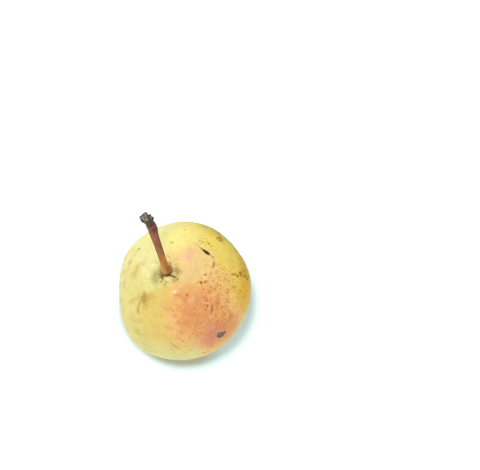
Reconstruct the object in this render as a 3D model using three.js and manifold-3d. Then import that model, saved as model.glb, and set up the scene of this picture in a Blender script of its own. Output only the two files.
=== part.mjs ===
// A small round pear resting on its eye end: one fruit, its woody stem set in the
// hollow at the top, and the dried remains of the flower in the hollow underneath.
// Millimetres, +Z up, the table at Z = 0 and the middle of the footprint at the origin.
import * as THREE from "three";
import { mergeVertices } from "three/addons/utils/BufferGeometryUtils.js";
import Module from "manifold-3d";

// The fruit's outline, measured from its widest section.
const WIDEST_RADIUS = 31;
const STEM_SIDE = 33; // widest section up to the crown
const EYE_SIDE = 23; // widest section down to the eye end
const ROUNDNESS = 2.25; // exponent of the outline at the widest section, where 2 is an ellipse
const TAPER = 0.65; // how much rounder the eye end is than the stem end
// The fruit leans as it rises, and bulges unevenly round its axis.
const LEAN = THREE.MathUtils.degToRad(15); // from the table to the crown, towards -X
const LOBES = [
  { count: 2, height: 0.026, at: 84 },
  { count: 3, height: 0.02, at: 4 },
  { count: 4, height: 0.009, at: -38 },
  { count: 5, height: 0.0115, at: 8 },
];
// The hollows at the two ends, and the small flat that the fruit rests on.
const STEM_HOLLOW = { depth: 4, width: 5.5, power: 2 };
const EYE_HOLLOW = { depth: 5.4, width: 8, power: 2.5 };
const EYE_TUBE = { depth: 1.6, width: 2.2, power: 4 };
const REST_FLAT = 0.35; // how much of the rim is pressed flat
// The stem, by distance above the floor of its hollow.
const STEM_LENGTH = 36;
const STEM_ROOT = 2.4; // how far it is set into the flesh
const STEM_TILT = { x: -0.116, y: 0.285 }; // horizontal run for each unit of length
// Each bend is a share of the stem's length, and the offset there towards +X.
const STEM_BENDS = [
  [-STEM_ROOT / STEM_LENGTH, -0.2],
  [0, -0.2],
  [0.33, 0],
  [0.67, 0.1],
  [0.87, 0.1],
  [1, -0.5],
];
// Each radius is a distance above the floor, and the radius there: flared at its
// foot, narrowest a third of the way up, and ending in a knob where it was picked.
const STEM_RADII = [
  [-STEM_ROOT, 1.7],
  [0, 2.2],
  [2, 1.95],
  [6, 1.6],
  [12, 1.45],
  [20, 1.5],
  [27, 1.75],
  [31, 1.85],
  [33, 1.75],
  [34.4, 2.05],
  [STEM_LENGTH, 2.1],
];
const SOCKET_SHARE = 0.25; // how much of the stem its socket is shaped round
// The dried flower: five sepals round a tuft of stamens.
const SEPALS = 5;
const SEPAL_TURN = 0.3; // heading of the first sepal, as a share of the angle between two
const SEPAL = { foot: 2.6, length: 4, width: 2.4, tip: 0.4, thickness: 0.45, arch: 0.5 };
const SEPAL_POINT = 0.8; // under 1, a sepal keeps its width further towards its tip
const TUFT = { radius: 1, height: 3, taper: 0.35 };
const GAP = 0.3; // clearance between neighbouring pieces

// Mesh fineness, as the number of faces round each piece and along it.
const FRUIT_MESH = { round: 72, rise: 44, crowding: 0.4 }; // crowding is towards the hollows
const STEM_MESH = { round: 24, rise: 32 };
const TUFT_MESH = { round: 12, rise: 4 };
const SEPAL_MESH = { across: 4, rise: 8 };
const WELD = 1e-3; // vertices closer than this are one

const FRUIT_HEIGHT = STEM_SIDE + EYE_SIDE;
const BEND_RADIUS = FRUIT_HEIGHT / LEAN;

const wasm = await Module();
wasm.setup();

const dimple = ({ depth, width, power }, r) =>
  depth * Math.exp(-((r / width) ** power));

// A point of the upright fruit, from its polar angle (0 at the stem) and its heading.
function uprightPoint(polar, heading) {
  const across = Math.sin(polar);
  const along = Math.cos(polar);
  const n = ROUNDNESS - TAPER * along;
  const reach = along > 0 ? STEM_SIDE : EYE_SIDE;
  const radius =
    ((across / WIDEST_RADIUS) ** n + (Math.abs(along) / reach) ** n) ** (-1 / n);
  const bulge = LOBES.reduce((sum, { count, height, at }) => {
    const turn = heading - THREE.MathUtils.degToRad(at);
    return sum + height * Math.cos(count * turn);
  }, 0);
  const r = radius * across * (1 + bulge * across ** 2);
  const hollow =
    along > 0
      ? -dimple(STEM_HOLLOW, r)
      : dimple(EYE_HOLLOW, r) + dimple(EYE_TUBE, r);
  return new THREE.Vector3(
    r * Math.cos(heading),
    r * Math.sin(heading),
    radius * along + hollow,
  );
}

// Curves the upright fruit towards -X, keeping the plane Z = 0 where it is.
function lean(point) {
  const turn = point.z / BEND_RADIUS;
  const out = BEND_RADIUS + point.x;
  return point.set(
    out * Math.cos(turn) - BEND_RADIUS,
    point.y,
    out * Math.sin(turn),
  );
}

// Lowest point of the rim round the eye, before the fruit is set down.
function rimHeight() {
  let lowest = 0;
  for (let step = 0; step <= FRUIT_MESH.rise; step++)
    for (let side = 0; side < FRUIT_MESH.round; side++) {
      const polar = Math.PI * (1 - step / (4 * FRUIT_MESH.rise));
      const heading = (side / FRUIT_MESH.round) * 2 * Math.PI;
      lowest = Math.min(lowest, uprightPoint(polar, heading).z);
    }
  return lowest;
}

const WIDEST_HEIGHT = -rimHeight() - REST_FLAT; // of the widest section above the table

function fruitPoint(polar, heading) {
  const point = uprightPoint(polar, heading);
  point.z = Math.max(0, point.z + WIDEST_HEIGHT);
  return lean(point);
}

function fruitGeometry() {
  const { round, rise, crowding } = FRUIT_MESH;
  const geometry = new THREE.SphereGeometry(1, round, rise).rotateX(Math.PI / 2);
  const position = geometry.getAttribute("position");
  const vertex = new THREE.Vector3();
  for (let i = 0; i < position.count; i++) {
    vertex.fromBufferAttribute(position, i);
    const even = Math.acos(THREE.MathUtils.clamp(vertex.z, -1, 1));
    const polar = even - (crowding / 2) * Math.sin(2 * even);
    const { x, y, z } = fruitPoint(polar, Math.atan2(vertex.y, vertex.x));
    position.setXYZ(i, x, y, z);
  }
  return geometry;
}

const HOLLOW_FLOOR = fruitPoint(0, 0);
// Height of the eye hollow's ceiling above the table, at a distance from its middle.
const eyeCeiling = (r) =>
  WIDEST_HEIGHT - EYE_SIDE + dimple(EYE_HOLLOW, r) + dimple(EYE_TUBE, r);

// The stem's middle line, as a point for each distance above the hollow's floor.
function stemCurve() {
  const rise = Math.sqrt(1 - STEM_TILT.x ** 2 - STEM_TILT.y ** 2);
  const points = STEM_BENDS.map(([share, sideways]) =>
    new THREE.Vector3(STEM_TILT.x, STEM_TILT.y, rise)
      .multiplyScalar(share * STEM_LENGTH)
      .add(new THREE.Vector3(sideways, 0, 0))
      .add(HOLLOW_FLOOR),
  );
  return new THREE.CatmullRomCurve3(points);
}

function stemRadius(length) {
  const next = STEM_RADII.findIndex(([at]) => at >= length);
  if (next < 1) return STEM_RADII.at(next)[1];
  const [low, lowRadius] = STEM_RADII[next - 1];
  const [high, highRadius] = STEM_RADII[next];
  const share = THREE.MathUtils.smoothstep(length, low, high);
  return THREE.MathUtils.lerp(lowRadius, highRadius, share);
}

// A round bar along the stem, wider all over by extra, from its root up to a share of it.
function stemGeometry(extra, upTo) {
  const curve = stemCurve();
  const whole = STEM_LENGTH + STEM_ROOT;
  const geometry = new THREE.CylinderGeometry(1, 1, 1, STEM_MESH.round, STEM_MESH.rise);
  const position = geometry.getAttribute("position");
  const middle = new THREE.Vector3();
  const side = new THREE.Vector3();
  const front = new THREE.Vector3();
  for (let i = 0; i < position.count; i++) {
    const share = (position.getY(i) + 0.5) * upTo;
    const tangent = curve.getTangentAt(share);
    side.crossVectors(new THREE.Vector3(0, 1, 0), tangent).normalize();
    front.crossVectors(tangent, side);
    const radius = stemRadius(share * whole - STEM_ROOT) + extra;
    middle
      .copy(curve.getPointAt(share))
      .addScaledVector(side, radius * position.getX(i))
      .addScaledVector(front, -radius * position.getZ(i));
    position.setXYZ(i, middle.x, middle.y, middle.z);
  }
  return geometry;
}

// One sepal: a pointed strap that leaves the eye's edge and spreads along the hollow.
function sepalGeometry() {
  const { across, rise } = SEPAL_MESH;
  const geometry = new THREE.BoxGeometry(1, 1, 1, rise, across, 1);
  const position = geometry.getAttribute("position");
  for (let i = 0; i < position.count; i++) {
    const u = position.getX(i) + 0.5; // from its foot to its tip
    const v = position.getY(i);
    const w = position.getZ(i);
    const r = SEPAL.foot + SEPAL.length * u;
    const width = SEPAL.width * (1 - u) ** SEPAL_POINT * (1 + u) + SEPAL.tip;
    const lift = GAP + SEPAL.thickness + SEPAL.arch * Math.sin(u * Math.PI);
    const thickness = SEPAL.thickness * (1 - u / 2);
    position.setXYZ(i, r, width * v, eyeCeiling(r) - lift + thickness * w);
  }
  return geometry;
}

// The withered stamens, as one blunt tuft inside the ring of sepals.
function tuftGeometry() {
  const { round, rise } = TUFT_MESH;
  const geometry = new THREE.CylinderGeometry(1, 1, TUFT.height, round, rise);
  const position = geometry.getAttribute("position");
  for (let i = 0; i < position.count; i++) {
    const share = position.getY(i) / TUFT.height + 0.5;
    const radius = TUFT.radius * (1 - TUFT.taper * share);
    position.setX(i, position.getX(i) * radius);
    position.setZ(i, position.getZ(i) * radius);
  }
  geometry.rotateX(Math.PI / 2);
  return geometry.translate(0, 0, eyeCeiling(0) - GAP - TUFT.height / 2);
}

// manifold-3d takes and gives plain arrays, with shared vertices merged.
function toSolid(geometry) {
  const bare = geometry.clone().deleteAttribute("normal").deleteAttribute("uv");
  const merged = mergeVertices(bare, WELD);
  const mesh = new wasm.Mesh({
    numProp: 3,
    vertProperties: merged.getAttribute("position").array,
    triVerts: new Uint32Array(merged.index.array),
  });
  return new wasm.Manifold(mesh);
}

function toGeometry(solid) {
  const { vertProperties, triVerts } = solid.getMesh();
  const geometry = new THREE.BufferGeometry();
  geometry.setAttribute("position", new THREE.BufferAttribute(vertProperties, 3));
  geometry.setIndex(new THREE.BufferAttribute(triVerts, 1));
  geometry.computeVertexNormals();
  return geometry;
}

// The fruit with the socket that the stem's root is set in.
function socketedFruit() {
  const socket = toSolid(stemGeometry(GAP, SOCKET_SHARE).translate(0, 0, -GAP));
  return toGeometry(toSolid(fruitGeometry()).subtract(socket));
}

const skin = new THREE.MeshStandardMaterial({ color: 0xe6cf7c, roughness: 0.45 });
const bark = new THREE.MeshStandardMaterial({ color: 0x8a5237, roughness: 0.8 });
const dry = new THREE.MeshStandardMaterial({ color: 0x3a2c22, roughness: 0.95 });

function piece(name, geometry, material) {
  const mesh = new THREE.Mesh(geometry, material);
  mesh.name = name;
  return mesh;
}

const pear = new THREE.Group();
pear.add(piece("fruit", socketedFruit(), skin));
pear.add(piece("stem", stemGeometry(0, 1), bark));
pear.add(piece("stamen_tuft", tuftGeometry(), dry));
for (let i = 0; i < SEPALS; i++) {
  const sepal = piece(`sepal_${i + 1}`, sepalGeometry(), dry);
  sepal.rotation.z = ((i + SEPAL_TURN) / SEPALS) * 2 * Math.PI;
  pear.add(sepal);
}

// The origin lies under the middle of the whole pear.
const middle = new THREE.Box3().setFromObject(pear).getCenter(new THREE.Vector3());
pear.position.set(-middle.x, -middle.y, 0);

export default pear;
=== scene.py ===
"""A small round pear standing on its eye end, seen from above on a white table.

Lengths are in millimetres until a mesh is made, and a place on the fruit is given by
its polar angle, 0 at the stem and 180 at the eye, and its heading, 0 at +X and 90 at
+Y, both in degrees.
"""
import math
import random
from collections import namedtuple

import bpy
import numpy as np
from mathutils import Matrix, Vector, noise


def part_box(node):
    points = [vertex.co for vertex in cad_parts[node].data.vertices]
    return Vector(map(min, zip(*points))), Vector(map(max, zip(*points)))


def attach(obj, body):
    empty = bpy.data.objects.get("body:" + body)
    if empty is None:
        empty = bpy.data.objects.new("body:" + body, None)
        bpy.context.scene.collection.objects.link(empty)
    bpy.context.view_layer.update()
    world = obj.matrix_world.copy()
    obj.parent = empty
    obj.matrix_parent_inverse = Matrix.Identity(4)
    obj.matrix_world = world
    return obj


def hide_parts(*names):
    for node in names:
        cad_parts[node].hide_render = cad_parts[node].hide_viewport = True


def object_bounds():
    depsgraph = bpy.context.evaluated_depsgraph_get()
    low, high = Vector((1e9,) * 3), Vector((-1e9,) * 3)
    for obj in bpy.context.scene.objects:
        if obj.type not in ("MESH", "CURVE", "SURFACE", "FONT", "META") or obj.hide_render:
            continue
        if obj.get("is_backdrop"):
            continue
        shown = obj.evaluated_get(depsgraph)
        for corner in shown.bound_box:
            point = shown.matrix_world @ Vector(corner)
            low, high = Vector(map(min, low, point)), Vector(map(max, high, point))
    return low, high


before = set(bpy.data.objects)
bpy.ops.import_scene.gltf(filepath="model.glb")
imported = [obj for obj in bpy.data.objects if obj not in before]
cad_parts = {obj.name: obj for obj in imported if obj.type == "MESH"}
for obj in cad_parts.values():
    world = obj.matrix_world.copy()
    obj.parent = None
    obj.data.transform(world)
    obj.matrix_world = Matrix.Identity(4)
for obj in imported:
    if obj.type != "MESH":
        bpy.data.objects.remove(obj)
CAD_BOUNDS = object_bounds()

MM = 0.001


def hump(value, middle, width):
    """1 at the middle, falling smoothly on both sides of it."""
    return np.exp(-(((value - middle) / width) ** 2))


def rise_between(value, low, high):
    """0 up to low and 1 from high, smooth between."""
    t = np.clip((value - low) / (high - low), 0, 1)
    return t * t * (3 - 2 * t)


# The fruit's outline, measured from its widest section, as the CAD model has it.
WIDEST_RADIUS = 31
STEM_SIDE = 33
EYE_SIDE = 23
ROUNDNESS = 2.25  # the outline's power, which is 2 for an ellipse
TAPER = 0.65  # how much rounder the eye end is than the stem end
LEAN = math.radians(15)
# Waves round the fruit: how many, their share of the radius, and a crest's heading.
LOBES = ((2, 0.026, 84), (3, 0.02, 4), (4, 0.009, -38), (5, 0.0115, 8))
# A hollow's depth, its width and how steep its wall is.
STEM_HOLLOW = (4, 5.5, 2)
EYE_HOLLOW = (5.4, 8, 2.5)
EYE_TUBE = (1.6, 2.2, 4)
REST_FLAT = 0.35  # how far the table flattens the eye end
BEND_RADIUS = (STEM_SIDE + EYE_SIDE) / LEAN

# The fruit's mesh: faces round it, faces from pole to pole, and how far they crowd
# towards the poles.
ROUND = 400
RISE = 236
CROWDING = 0.4
POLE_GAP = 1e-6  # so that no outline is worked out exactly at a pole


# -------------------- the fruit's shape


def dimple(hollow, r):
    depth, width, power = hollow
    return depth * np.exp(-((r / width) ** power))


def upright(polar, heading):
    """Points of the fruit before it leans, from angles in radians."""
    across, along = np.sin(polar), np.cos(polar)
    n = ROUNDNESS - TAPER * along
    reach = np.where(along > 0, STEM_SIDE, EYE_SIDE)
    radius = ((across / WIDEST_RADIUS) ** n + (np.abs(along) / reach) ** n) ** (-1 / n)
    bulge = sum(h * np.cos(k * (heading - math.radians(at))) for k, h, at in LOBES)
    r = radius * across * (1 + bulge * across**2)
    eye = dimple(EYE_HOLLOW, r) + dimple(EYE_TUBE, r)
    hollow = np.where(along > 0, -dimple(STEM_HOLLOW, r), eye)
    places = (r * np.cos(heading), r * np.sin(heading), radius * along + hollow)
    return np.stack(places, axis=-1)


def grid_angles():
    even = np.linspace(0, math.pi, RISE + 1)
    polar = even - CROWDING / 2 * np.sin(2 * even)
    polar[0], polar[-1] = POLE_GAP, math.pi - POLE_GAP
    heading = np.linspace(0, 2 * math.pi, ROUND, endpoint=False)
    return np.meshgrid(polar, heading, indexing="ij")


POLAR, HEADING = grid_angles()
SMOOTH = upright(POLAR, HEADING)
WIDEST_HEIGHT = -SMOOTH[..., 2].min() - REST_FLAT


def lean(points):
    """Stands the upright fruit on the table and curves it towards -X as it rises."""
    z = np.maximum(points[..., 2] + WIDEST_HEIGHT, 0)
    turn = z / BEND_RADIUS
    out = BEND_RADIUS + points[..., 0]
    x = out * np.cos(turn) - BEND_RADIUS
    return np.stack((x, points[..., 1], out * np.sin(turn)), axis=-1)


def frame_offset():
    """From the fruit's own axis to the frame's origin, so that it fills its CAD box."""
    low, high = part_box("fruit")
    places = lean(SMOOTH).reshape(-1, 3)
    own = (places.min(axis=0) + places.max(axis=0)) / 2
    offset = (np.array(low) + np.array(high)) / 2 / MM - own
    return offset * (1, 1, 0)


OFFSET = frame_offset()


def in_frame(points):
    return lean(points) + OFFSET


def grid_faces(rows, columns):
    """Quads of a grid that closes round its columns, each facing out."""
    at = np.arange(rows * columns).reshape(rows, columns)
    after = np.roll(at, -1, axis=1)
    corners = (at[:-1], at[1:], after[1:], after[:-1])
    return np.stack(corners, axis=-1).reshape(-1, 4)


def closed_faces(rows, columns):
    """Faces of a grid with that many inner rows, closed by a point at each end."""
    first, last = rows * columns, rows * columns + 1
    end = (rows - 1) * columns
    faces = grid_faces(rows, columns).tolist()
    faces += [(first, i, (i + 1) % columns) for i in range(columns)]
    faces += [(last, end + (i + 1) % columns, end + i) for i in range(columns)]
    return faces


def per_vertex(grid):
    """A value of each grid point in the mesh's order: inner rows, then the two ends."""
    inner = grid[1:-1].reshape(-1, *grid.shape[2:])
    return np.concatenate([inner, grid[0, :1], grid[-1, :1]])


def add_mesh(name, grids, replaced):
    """A smooth mesh of closed grids of points in millimetres, which rides on the body
    and stands for a CAD node."""
    points, faces = [], []
    for grid in grids:
        count = len(points)
        rows, columns = grid.shape[0] - 2, grid.shape[1]
        points += (per_vertex(grid) * MM).tolist()
        faces += [[count + i for i in face] for face in closed_faces(rows, columns)]
    mesh = bpy.data.meshes.new(name)
    mesh.from_pydata(points, [], faces)
    mesh.shade_smooth()
    piece = bpy.data.objects.new(name, mesh)
    bpy.context.scene.collection.objects.link(piece)
    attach(piece, "root")
    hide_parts(replaced)
    return piece


# -------------------- marks on the skin

# A place is (polar angle, heading) in degrees, and sizes on the skin are in millimetres.


def place_on_skin(place):
    polar, heading = np.radians(place)
    return upright(polar, heading)


def distance_from(place):
    """From each point of the skin to a place on it."""
    return np.linalg.norm(SMOOTH - place_on_skin(place), axis=-1)


def stroke(start, end, size):
    """A soft band from one place to another: 1 along its middle line, and fading out at
    about twice its size."""
    a, b = place_on_skin(start), place_on_skin(end)
    share = np.clip((SMOOTH - a) @ (b - a) / ((b - a) @ (b - a)), 0, 1)
    gap = np.linalg.norm(SMOOTH - a - share[..., None] * (b - a), axis=-1)
    return hump(gap, 0, size)


def strokes(marks):
    """Soft bands together, each its two ends, a size and a strength."""
    return sum(strength * stroke(start, end, size) for start, end, size, strength in marks)


def spread(place, out, around, power=2):
    """A wide patch by angles: out is its half width away from the stem, and around its
    half width along a ring, both in degrees."""
    polar, heading = place
    turn = (np.degrees(HEADING) - heading + 180) % 360 - 180
    ring = turn * math.sin(math.radians(polar))
    apart = np.hypot((np.degrees(POLAR) - polar) / out, ring / around)
    return np.exp(-(apart**power))


def along_and_across(start, end):
    """Distances along and across a line on the skin from its middle, and half its
    length."""
    a, b = place_on_skin(start), place_on_skin(end)
    middle = (a + b) / 2
    line = (b - a) / np.linalg.norm(b - a)
    out = middle - np.array((0, 0, middle[2] - STEM_SIDE / 2))
    side = np.cross(out, line)
    side /= np.linalg.norm(side)
    away = SMOOTH - middle
    return away @ line, away @ side, np.linalg.norm(b - a) / 2


# Each spot is a place and a radius. More are scattered over the sides and the underside.
SPOTS = [
    ((32, -6), 0.45),
    ((30, -20), 0.5),
    ((33, -17), 0.5),
    ((26, -51), 0.25),
    ((44, -41), 0.35),
    ((58, -30), 0.3),
    ((60, -68), 0.25),
    ((60, -82), 0.3),
    ((42, 140), 0.6),
    ((51, 144), 0.45),
    ((44, 76), 0.4),
    ((12, -40), 0.3),
    ((13, -12), 0.2),
]
SCATTERED_SPOTS = 30
SCATTER_FROM = 72  # the polar angle that they start at
SCATTER_TO = -0.9  # the cosine of the one that they end at
SCATTER_RADII = (0.25, 0.55)


def scattered_spots():
    draw = random.Random(11)
    for _ in range(SCATTERED_SPOTS):
        height = draw.uniform(SCATTER_TO, math.cos(math.radians(SCATTER_FROM)))
        place = (math.degrees(math.acos(height)), draw.uniform(-180, 180))
        yield place, draw.uniform(*SCATTER_RADII)


# A line on the skin: its two ends, its greatest width, how far that lies towards its
# end (1 is in the middle), its colour, how much of it shows, and its depth.
Line = namedtuple("Line", "start end width skew colour shows depth")
LINES = {
    "slit": Line((34, 42), (38, 24), 2.0, 2.6, "46261a", 0.97, 0.4),
    "slit_tail": Line((37.5, 27), (40.5, 17), 0.8, 1, "a8742c", 0.8, 0.1),
    "slit_head": Line((33, 48), (35, 36), 0.8, 1, "d88a58", 0.6, 0),
    "nick": Line((40, 16), (38, 4), 1.2, 1, "a5682c", 0.7, 0.12),
    "streak": Line((47, -36), (52, -46), 1.2, 1, "a8623c", 0.65, 0),
    "hairline": Line((60, -94), (70, -87), 0.5, 1, "a8823c", 0.75, 0.06),
    "top_streak": Line((42, 52), (47, 47), 0.8, 1, "a88f40", 0.4, 0.05),
    "olive_streak": Line((24, 82), (26, 88), 2.2, 1, "b5ac66", 0.6, 0.05),
    "crease": Line((31, -140), (43, -134), 1.7, 1, "b89650", 0.55, 0.2),
    "crack_left": Line((5, -150), (8, -104), 1.3, 1, "6e5220", 0.8, 0.3),
    "crack_front": Line((7.5, -116), (11, -108), 1.3, 1, "80703a", 0.6, 0.15),
    "crack_right": Line((3, -82), (10, -35), 1.1, 1, "6a4414", 0.85, 0.3),
    "back_scratch": Line((78, 128), (90, 112), 0.7, 1, "8f6b33", 0.6, 0.1),
}

CHIP = ((69.5, -52), (75.5, -45.5))  # the ends of its straight side
CHIP_LENGTH, CHIP_WIDTH = 2.4, 3.3  # half its length along that side, and its width
FOOT_FADE = 0.9  # how far the painted shade round the stem's foot reaches

# In this list and the next four, each mark is its two ends, a size and a strength.
BRUISES = (
    ((26, -139), (29, -137), 1.3, 0.6),
    ((28, -134), (22, -122), 2.1, 0.6),
    ((31, -136), (33, -127), 1.6, 0.4),
    ((42, -134), (43, -132), 0.9, 0.5),
    ((29, -118), (39, -136), 2.8, 0.35),
    ((29, -98), (32, -84), 1.9, 0.5),
    ((11, -50), (10, -12), 2.0, 0.75),
    ((8, 10), (9, 27), 1.2, 0.45),
    ((34, -146), (44, -150), 1.7, 0.5),
    ((49, -177), (51, -174), 1.1, 0.8),
    ((29, 162), (34, 176), 2.0, 0.5),
    ((42, 142), (44, 159), 1.6, 0.4),
    ((60, -127), (62, -120), 3.5, 0.3),
    ((45, -95), (47, -91), 1.6, 0.4),
    ((92, 138), (97, 130), 3.6, 0.4),
    ((108, -142), (104, -136), 3.2, 0.35),
)

RUSSETS = (
    ((51, 1), (58, 2), 1.3, 1.0),
    ((64, 2), (73, 10), 1.8, 1.1),
    ((66, 2), (78, 4), 1.8, 1.1),
    ((58, 42), (64, 49), 2.6, 0.95),
    ((52, 46), (56, 44), 1.4, 0.8),
    ((41, 47), (44, 38), 2.4, 1.2),
    ((60, -68), (61, -72), 1.4, 0.5),
    ((47, -88), (50, -86), 1.2, 0.6),
    ((86, 66), (84, 76), 3.6, 0.8),
    ((95, 158), (92, 168), 4.0, 0.8),
    ((104, -76), (106, -66), 3.6, 0.7),
    ((98, -160), (101, -152), 3.2, 0.7),
    ((115, 12), (112, 24), 4.4, 0.9),
    ((122, 104), (124, 118), 4.0, 0.8),
)

# Greenish marks in the stem's hollow, partly the skin's colour and partly painted shade on
# the hollow's walls.
STAINS_AND_SHADE = (
    ((7, 172), (10, -140), 2.3, 0.48),
    ((11, -155), (14, -125), 2.2, 0.35),
    ((5, -140), (7, -100), 1.2, 0.5),
    ((5, 50), (6, 0), 1.3, 0.4),
    ((9, 0), (12, -16), 1.4, 0.3),
    ((10, 130), (10, 142), 0.9, 0.45),
)

# Small swellings, raised in the relief, each with a painted highlight in a pale colour.
SWELLINGS = (
    ((19, -70), (19, -67), 1.0, 1.0),
    ((9.5, 152), (11.5, 157), 0.9, 0.9),
    ((7, -96), (7, -84), 1.2, 0.6),
)

PINK_STREAKS = (
    ((26, 42), (20, 28), 2.6, 0.9),
    ((33, 50), (38, 44), 1.2, 0.6),
)


def blush_mask():
    """The side that faced the sun, from near the stem down to the front right."""
    middle = spread((41, -56), 28, 26, 2.6)
    low = spread((74, -46), 21, 20, 3)
    right = 0.3 * spread((48, -6), 16, 18, 3)
    rim = 0.4 * spread((92, -54), 16, 32, 3)
    parts = (middle, 0.85 * low, right, rim)
    return 1 - np.prod([1 - part for part in parts], axis=0)


def freckle_mask():
    right = spread((48, -17), 24, 26, 2.6)
    return np.maximum(right, 0.35 * spread((48, -58), 26, 26, 3))


def honey_mask():
    """Deeper yellow in front on the left, a little further down, and by the hollow."""
    left = spread((39, -98), 26, 21, 3)
    low = spread((70, -84), 15, 15, 3)
    high = spread((17, -76), 9, 12)
    return left + 0.4 * low + 0.5 * high


def nearest_spot():
    """Distance to the edge of the nearest spot, below 0 inside it."""
    spots = [*SPOTS, *scattered_spots()]
    gaps = [distance_from(place) - radius for place, radius in spots]
    return np.minimum.reduce(gaps)


def foot_ring_shade():
    """The skin that touches the stem's foot, where shade is painted."""
    foot = SMOOTH[0, 0] + np.array((STEM_BENDS[1][1], 0, 0))
    gap = np.linalg.norm(SMOOTH - foot, axis=-1) - STEM_RADII[1][1]
    return hump(np.maximum(gap, 0), 0, FOOT_FADE)


def chip_gap():
    """Distance to the edge of the D-shaped chip, below 0 inside it."""
    along, across, _ = along_and_across(*CHIP)
    squared = np.abs(along / CHIP_LENGTH) ** 3 + np.abs(across / CHIP_WIDTH) ** 3
    gap = np.maximum((np.cbrt(squared) - 1) * CHIP_LENGTH, across)
    return np.where(distance_from(CHIP[0]) < 3 * CHIP_WIDTH, gap, CHIP_WIDTH)


SKIN_MASKS = {
    "straw": lambda: spread((42, -157), 23, 32, 3) + 0.7 * spread((74, -128), 20, 30, 3),
    # a painted sheen along the left rim
    "rim_sheen": lambda: spread((78, 171), 27, 52),
    "sunny": lambda: spread((31, 64), 20, 18, 3),
    "cream": lambda: spread((25, 8), 20, 20, 3) + 0.7 * spread((12, 62), 7, 8),
    "honey": honey_mask,
    "gold": lambda: spread((66, 24), 38, 56, 3),
    # partly painted shade towards the right edge
    "ochre_and_shade": lambda: spread((84, 16), 24, 42),
    "amber": lambda: spread((78, -14), 17, 20, 2.6),
    # partly painted shade towards the upper right
    "olive_and_shade": lambda: spread((71, 59), 18, 30),
    "blush": blush_mask,
    "rose": lambda: spread((69, -57), 14, 16, 2.5),
    "pink": lambda: strokes(PINK_STREAKS),
    "freckles": freckle_mask,
    "russet": lambda: strokes(RUSSETS),
    "bruise": lambda: strokes(BRUISES),
    # greenish marks in the stem's hollow, partly painted shade
    "stain_and_shade": lambda: strokes(STAINS_AND_SHADE),
    # pale: painted highlights on the swellings
    "pale": lambda: strokes(SWELLINGS),
    "hollow": lambda: np.exp(-((np.degrees(POLAR) / 13) ** 3)),
    # foot: painted shade round the stem's foot
    "foot": foot_ring_shade,
    "eye": lambda: np.exp(-(((180 - np.degrees(POLAR)) / 22) ** 3)),
    "left": lambda: spread((42, -170), 40, 45, 4),
    "spots": nearest_spot,
    "chip": chip_gap,
}


# -------------------- relief of the skin


def lumps(size, seed, places=SMOOTH):
    """Smooth noise from -1 to 1 with lumps of about that size, over the skin or other
    places."""
    shift = np.array((seed * 17.3, seed * 5.1, seed * 9.7))
    shifted = (places / size + shift).reshape(-1, 3).tolist()
    return np.array([noise.noise(p) for p in shifted]).reshape(places.shape[:-1])


def unit_normals(points):
    down = np.gradient(points, axis=0)
    around = np.roll(points, -1, axis=1) - np.roll(points, 1, axis=1)
    normal = np.cross(down, around)
    length = np.linalg.norm(normal, axis=-1, keepdims=True)
    normal = normal / np.maximum(length, 1e-9)
    normal[0], normal[-1] = (0, 0, 1), (0, 0, -1)
    return normal


def groove(line):
    along, across, half = along_and_across(line.start, line.end)
    taper = np.clip(1 - (along / (half * 1.1)) ** 2, 0, 1)
    near = distance_from(line.start) < 4 * half + 4
    return -line.depth * taper * hump(across, 0, line.width / 2) * near


def stem_collar():
    """Folds of flesh round the stem's foot, in the hollow."""
    r = np.hypot(SMOOTH[..., 0], SMOOTH[..., 1])
    wave = 0.6 + 0.4 * np.cos(3 * (HEADING + 1.3)) + 0.5 * lumps(2.4, 5)
    lip = 0.55 * hump(r, 3.9, 0.9) * wave
    folds = np.cos(7 * HEADING + 2.2 * lumps(5, 6))
    top = np.cos(POLAR) > 0
    return (lip + 0.3 * folds * hump(r, 6, 3)) * top


def eye_ribs():
    """Five low ribs and finer creases that run into the eye."""
    r = np.hypot(SMOOTH[..., 0], SMOOTH[..., 1])
    ribs = 0.45 * np.cos(5 * HEADING + 0.4) * hump(r, 9, 5)
    creases = 0.14 * np.cos(19 * HEADING + 3 * lumps(6, 8)) * hump(r, 5.5, 3)
    return (ribs + creases) * (np.cos(POLAR) < 0)


BRUISE_DEPTH = 0.45
SWELLING_HEIGHT = 0.3
SPOT_DEPTH = 0.12
CHIP_DEPTH = 0.35
CHIP_LIP = 0.12
EDGE = 0.3  # over which a spot's or the chip's relief rises


def relief():
    """How far each point stands out from the smooth fruit."""
    eye = SKIN_MASKS["eye"]()
    uneven = 1 + 0.9 * SKIN_MASKS["left"]()
    height = 0.24 * lumps(12, 1) + uneven * (0.13 * lumps(5.5, 2) + 0.045 * lumps(2.4, 3))
    height *= 1 - 0.8 * eye
    height -= BRUISE_DEPTH * strokes(BRUISES)
    height += SWELLING_HEIGHT * strokes(SWELLINGS)
    height += stem_collar() + eye_ribs()
    height -= SPOT_DEPTH * np.clip(-nearest_spot() / EDGE, 0, 1)
    inside = np.clip(0.5 - chip_gap() / EDGE, 0, 1)
    height -= CHIP_DEPTH * inside * (1 + 0.4 * lumps(0.8, 4))
    height += CHIP_LIP * hump(chip_gap(), EDGE, EDGE)
    for line in LINES.values():
        height += groove(line)
    return height


# -------------------- material graphs


def colour(text):
    """Linear red, green, blue and 1 from a screen colour such as e6cf7c."""
    screen = [int(text[i : i + 2], 16) / 255 for i in (0, 2, 4)]
    linear = [c / 12.92 if c < 0.04045 else ((c + 0.055) / 1.055) ** 2.4 for c in screen]
    return (*linear, 1)


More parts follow.
